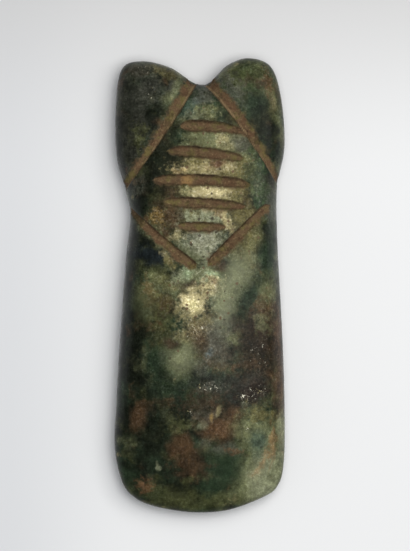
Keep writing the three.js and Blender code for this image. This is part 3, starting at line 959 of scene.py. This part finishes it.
def stone_material():
    """Mottled greenstone with a soft polish, and the earth that lies in its grooves."""
    material, s = new_material("greenstone")
    place = s.millimetres()
    bent = warped(s, place)
    fields = edge_fields(s, place)
    ground = ground_colour(s, bent)
    carved_side = s.steps(s.axis(place, "Z"), *CARVED_SIDE)
    colour = s.mix(carved_side, ground, patched(s, ground, bent, fields, PATCHES))
    colour = grained(s, colour, place)
    # Veils over the grain; the mist ones across the middle of the blade are painted reflection.
    colour = s.mix(carved_side, colour, patched(s, colour, bent, fields, VEILS_AND_SHEEN))
    colour = flecked(s, colour, place)
    earth = earth_cover(s, place)
    colour = s.mix(earth, colour, earth_colour(s, place))
    colour = lipped(s, colour, place)

    polish = s.steps(s.noise(place, 3.0, 4), 0.3, 0.7, 0.24, 0.42)
    roughness = s.mix_numbers(earth, polish, EARTH_ROUGHNESS)
    crumbs = s.maths("MULTIPLY", earth, s.noise(place, 0.35, 2))
    height = s.maths("ADD", s.noise(place, 0.7, 4, 0.6), crumbs)
    bump = s.add("Bump", {"Strength": 0.25, "Distance": BUMP_HEIGHT * UNIT, "Height": height})
    finish = {"Roughness": roughness, "IOR": 1.5, "Specular IOR Level": 0.16, "Normal": bump.outputs[0]}
    s.surface({"Base Color": colour, **finish})
    return material


def earth_cover(s, place):
    """Where earth covers the stone, 0 to 1, with an edge that noise breaks up."""
    inside = s.maths("SUBTRACT", s.attribute("earth"), 0.95)
    inside = s.maths("MULTIPLY_ADD", s.noise(place, 1.1, 4, 0.65), 1.1, inside)
    inside = s.maths("MULTIPLY_ADD", s.noise(place, 3.6, 2), 0.8, inside)
    return s.steps(inside, -0.28, 0.3)


def lipped(s, colour, place):
    """The colour with painted shade on the lips of the grooves, and a painted highlight at the foot of
    some.
    """
    # Painted shade along the grooves' lips, in the dark earth colour.
    uneven = s.steps(s.noise(place, 1.4, 4, 0.7), 0.38, 0.62, 0.45, 1.0)
    dark = s.maths("MULTIPLY", s.attribute("painted_lip_shade"), uneven)
    colour = s.mix(dark, colour, linear("dark_earth_and_shade"))
    # A painted highlight at the foot of the upper strokes' steep lip, in the pale earth colour.
    broken = s.steps(s.noise(place, 2.5, 4), 0.4, 0.58, 0.1, 1.0)
    light = s.maths("MULTIPLY", s.attribute("painted_lip_highlight"), broken)
    return s.mix(light, colour, linear("pale_earth_and_highlight"))


def earth_colour(s, place):
    """Dry brown earth, uneven and stained, with its spots and with dark and pale grains."""
    uneven = s.noise(place, 3.0, 4, 0.6)
    colour = s.mix(s.steps(uneven, 0.46, 0.62), linear("earth"), linear("red_earth"))
    colour = s.mix(s.steps(uneven, 0.50, 0.36, 0, 0.7), colour, linear("olive"))
    stain = s.noise(s.aside(place, 11, 5), 2.0, 4, 0.65)
    colour = s.mix(s.steps(stain, 0.50, 0.66, 0, 0.6), colour, linear("umber"))
    for spot in EARTH_SPOTS:
        away = s.vector("DISTANCE", place, spot.middle, output="Value")
        away = s.maths("MULTIPLY_ADD", s.noise(place, spot.size, 3), spot.push, away)
        colour = s.mix(s.steps(away, spot.outer, spot.full, 0, spot.strength), colour, linear(spot.colour))
    grains = s.noise(place, 0.6, 4, 0.8)
    colour = s.mix(s.steps(grains, 0.53, 0.72, 0, 0.7), colour, linear("pale_earth_and_highlight"))
    return s.mix(s.steps(grains, 0.47, 0.28, 0, 0.85), colour, linear("dark_earth_and_shade"))


def grained(s, colour, place):
    """Crystal texture over the stone's colour: uneven tone, veins, pale and dark grains, and painted
    glints.
    """
    pitted = s.attribute("pitted")
    grain = s.maths("MULTIPLY_ADD", pitted, 0.5, s.steps(s.axis(place, "Y"), -50.0, -20.0, 0.45, 0.8))
    colour = s.scaled(colour, s.steps(s.noise(place, 2.2, 5, 0.7), 0.25, 0.75, 0.54, 1.38))
    streaks = s.noise(s.moved(place, Scale=(1, 0.08, 1), Rotation=(0, 0, 0.06)), 0.7, 3, 0.6)
    colour = s.scaled(colour, s.steps(streaks, 0.25, 0.75, 0.84, 1.16))
    colour = veined(s, colour, place)

    fine = s.noise(s.aside(place, 47, 13), 0.6, 3, 0.8)
    light, dark = s.steps(fine, 0.52, 0.66, 0, 0.7), s.steps(fine, 0.48, 0.34, 0, 0.8)
    pale = s.add("HueSaturation", {"Saturation": 0.65, "Value": 2.3, "Color": colour}).outputs[0]
    colour = s.mix(s.maths("MULTIPLY", light, grain, clamp=True), colour, pale)
    colour = s.mix(s.maths("MULTIPLY", dark, grain, clamp=True), colour, s.scaled(colour, 0.35))

    speck = s.noise(s.aside(place, -31, 22), 0.75, 3, 0.75)
    speck = s.maths("ADD", speck, s.maths("MULTIPLY", pitted, 0.10))
    colour = s.mix(s.steps(speck, 0.52, 0.38, 0, pitted), colour, s.scaled(colour, 0.25))
    # Painted highlight: pale glints in the pits, which stand in for light caught by crystal faces.
    glint = s.mix(s.steps(s.noise(place, 1.8, 2), 0.44, 0.56), linear("glint"), linear("bone"))
    return s.mix(s.steps(speck, 0.67, 0.735, 0, pitted), colour, glint)


def veined(s, colour, place):
    """The colour with fine veins, which a second noise shows here and there."""
    for vein in VEINS:
        field = s.noise(s.aside(place, vein.shift, -vein.shift), vein.size, 5, 0.65)
        off_line = s.maths("ABSOLUTE", s.maths("SUBTRACT", field, 0.5))
        patchy = s.noise(s.aside(place, -vein.shift, vein.shift), 6.0, 2)
        shown = s.steps(patchy, 0.4, 0.6, 0.0, vein.strength)
        share = s.maths("MULTIPLY", s.steps(off_line, VEIN_WIDTH, 0.0), shown)
        colour = s.mix(share, colour, s.scaled(colour, vein.gain))
    return colour


def flecked(s, colour, place):
    """Scattered flecks of rust and black on the paler parts of the stone, fewer towards the bit."""
    cells = s.add("TexVoronoi", {"Vector": place, "Scale": 1 / FLECK_SPACING})
    chance = s.add("SeparateColor", {0: cells.outputs["Color"]}).outputs
    radius = s.steps(chance[0], 0.5, 1.0, -0.1, 0.42)
    uneven = s.maths("MULTIPLY_ADD", s.noise(place, 0.45, 3), 0.5, cells.outputs["Distance"])
    inside = s.steps(s.maths("SUBTRACT", uneven, radius), 0.30, 0.18)
    pale = s.steps(s.add("RGBToBW", {0: colour}).outputs[0], 0.05, 0.16, 0.0, 0.85)
    many = s.maths("MULTIPLY", pale, s.steps(s.axis(place, "Y"), -32.0, -14.0, 0.15, 1.0))
    tint = s.mix(s.steps(chance[1], 0.45, 0.55), linear("red_earth"), linear("dark_earth_and_shade"))
    return s.mix(s.maths("MULTIPLY", inside, many), colour, tint)


# -------- floor, light and camera

FLOOR_REACH = 3.0  # metres each way
FLOOR_COLOUR = (0.82, 0.83, 0.84, 1)
# Painted shade: the floor's colours to the left of the axe and beyond its butt, where the room light falls
# off.
FLOOR_LEFT_SHADE = (0.70, 0.715, 0.735, 1)
FLOOR_BEYOND_SHADE = (0.56, 0.56, 0.56, 1)


def build_floor():
    """A plain pale sheet under the axe, with painted shade that makes it a little darker to the left and
    beyond the butt.
    """
    reach = FLOOR_REACH
    mesh = bpy.data.meshes.new("floor")
    corners = [(-reach, -reach), (reach, -reach), (reach, reach), (-reach, reach)]
    mesh.from_pydata([(x, y, LOW.z) for x, y in corners], [], [(0, 1, 2, 3)])
    floor = bpy.data.objects.new("floor", mesh)
    bpy.context.scene.collection.objects.link(floor)
    material, s = new_material("floor_paper")
    place = s.millimetres()
    # Painted shade to the left of the axe and beyond its butt.
    left = s.steps(s.axis(place, "X"), -1.25 * WIDTH, -0.3 * WIDTH)
    beyond = s.steps(s.axis(place, "Y"), 0.2 * LENGTH, 0.9 * LENGTH)
    colour = s.mix(beyond, s.mix(left, FLOOR_LEFT_SHADE, FLOOR_COLOUR), FLOOR_BEYOND_SHADE)
    s.surface({"Base Color": colour, "Roughness": 0.9, "Specular IOR Level": 0.2})
    mesh.materials.append(material)


def build_light():
    """Even room light, a window and a skylight that light the stone, and a dim ceiling and a doorway that
    show only as reflections in its polish."""
    world = bpy.data.worlds.new("room")
    bpy.context.scene.world = world
    world.use_nodes = True
    background = world.node_tree.nodes["Background"].inputs
    background["Color"].default_value = (0.95, 0.97, 1.0, 1)
    background["Strength"].default_value = 0.24
    world.cycles_visibility.glossy = False
    window = area_light("window", size=0.5, energy=3.0, azimuth=32, elevation=71, distance=0.75)
    window.data.color = (1.0, 0.98, 0.95)
    window.visible_glossy = False
    skylight = area_light("skylight", size=0.4, energy=3.4, azimuth=20, elevation=86, distance=0.9)
    skylight.visible_glossy = False
    ceiling = area_light("ceiling", size=0.6, energy=1.5, azimuth=-10, elevation=72, distance=1.0)
    ceiling.visible_diffuse = False
    doorway = area_light("doorway", size=0.6, energy=1.7, azimuth=12, elevation=38, distance=1.0)
    doorway.visible_diffuse = False


def area_light(name, size, energy, azimuth, elevation, distance):
    """A square area light that looks at the axe from a direction, in degrees, at a distance, in metres."""
    data = bpy.data.lights.new(name, "AREA")
    data.size = size
    data.energy = energy
    light = bpy.data.objects.new(name, data)
    azimuth, elevation = math.radians(azimuth), math.radians(elevation)
    level, height = distance * math.cos(elevation), distance * math.sin(elevation)
    light.location = (level * math.cos(azimuth), level * math.sin(azimuth), height)
    light.rotation_euler = (-light.location).to_track_quat("-Z", "Y").to_euler()
    bpy.context.scene.collection.objects.link(light)
    return light


# The view: straight down, the axe upright and a little left and low of the middle.
VIEW_LENGTH = 145.5  # what the picture's long side spans on the plane of the outline
VIEW_CENTRE = (1.4, 2.6)
CAMERA_DISTANCE = 1500.0


def build_camera():
    """A camera with a long lens, straight above."""
    data = bpy.data.cameras.new("camera")
    camera = bpy.data.objects.new("camera", data)
    x, y = VIEW_CENTRE
    camera.location = np.array([x, y, EDGE_HEIGHT + CAMERA_DISTANCE]) * UNIT + MIDDLE
    data.lens = data.sensor_width * CAMERA_DISTANCE / VIEW_LENGTH
    data.clip_start = 0.01
    bpy.context.scene.collection.objects.link(camera)
    bpy.context.scene.camera = camera


bpy.context.scene.view_settings.view_transform = "Standard"
build_camera()
build_light()
build_floor()

stone = build_stone()
stone.data.materials.append(stone_material())
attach(stone, "root")
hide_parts("axe_head")
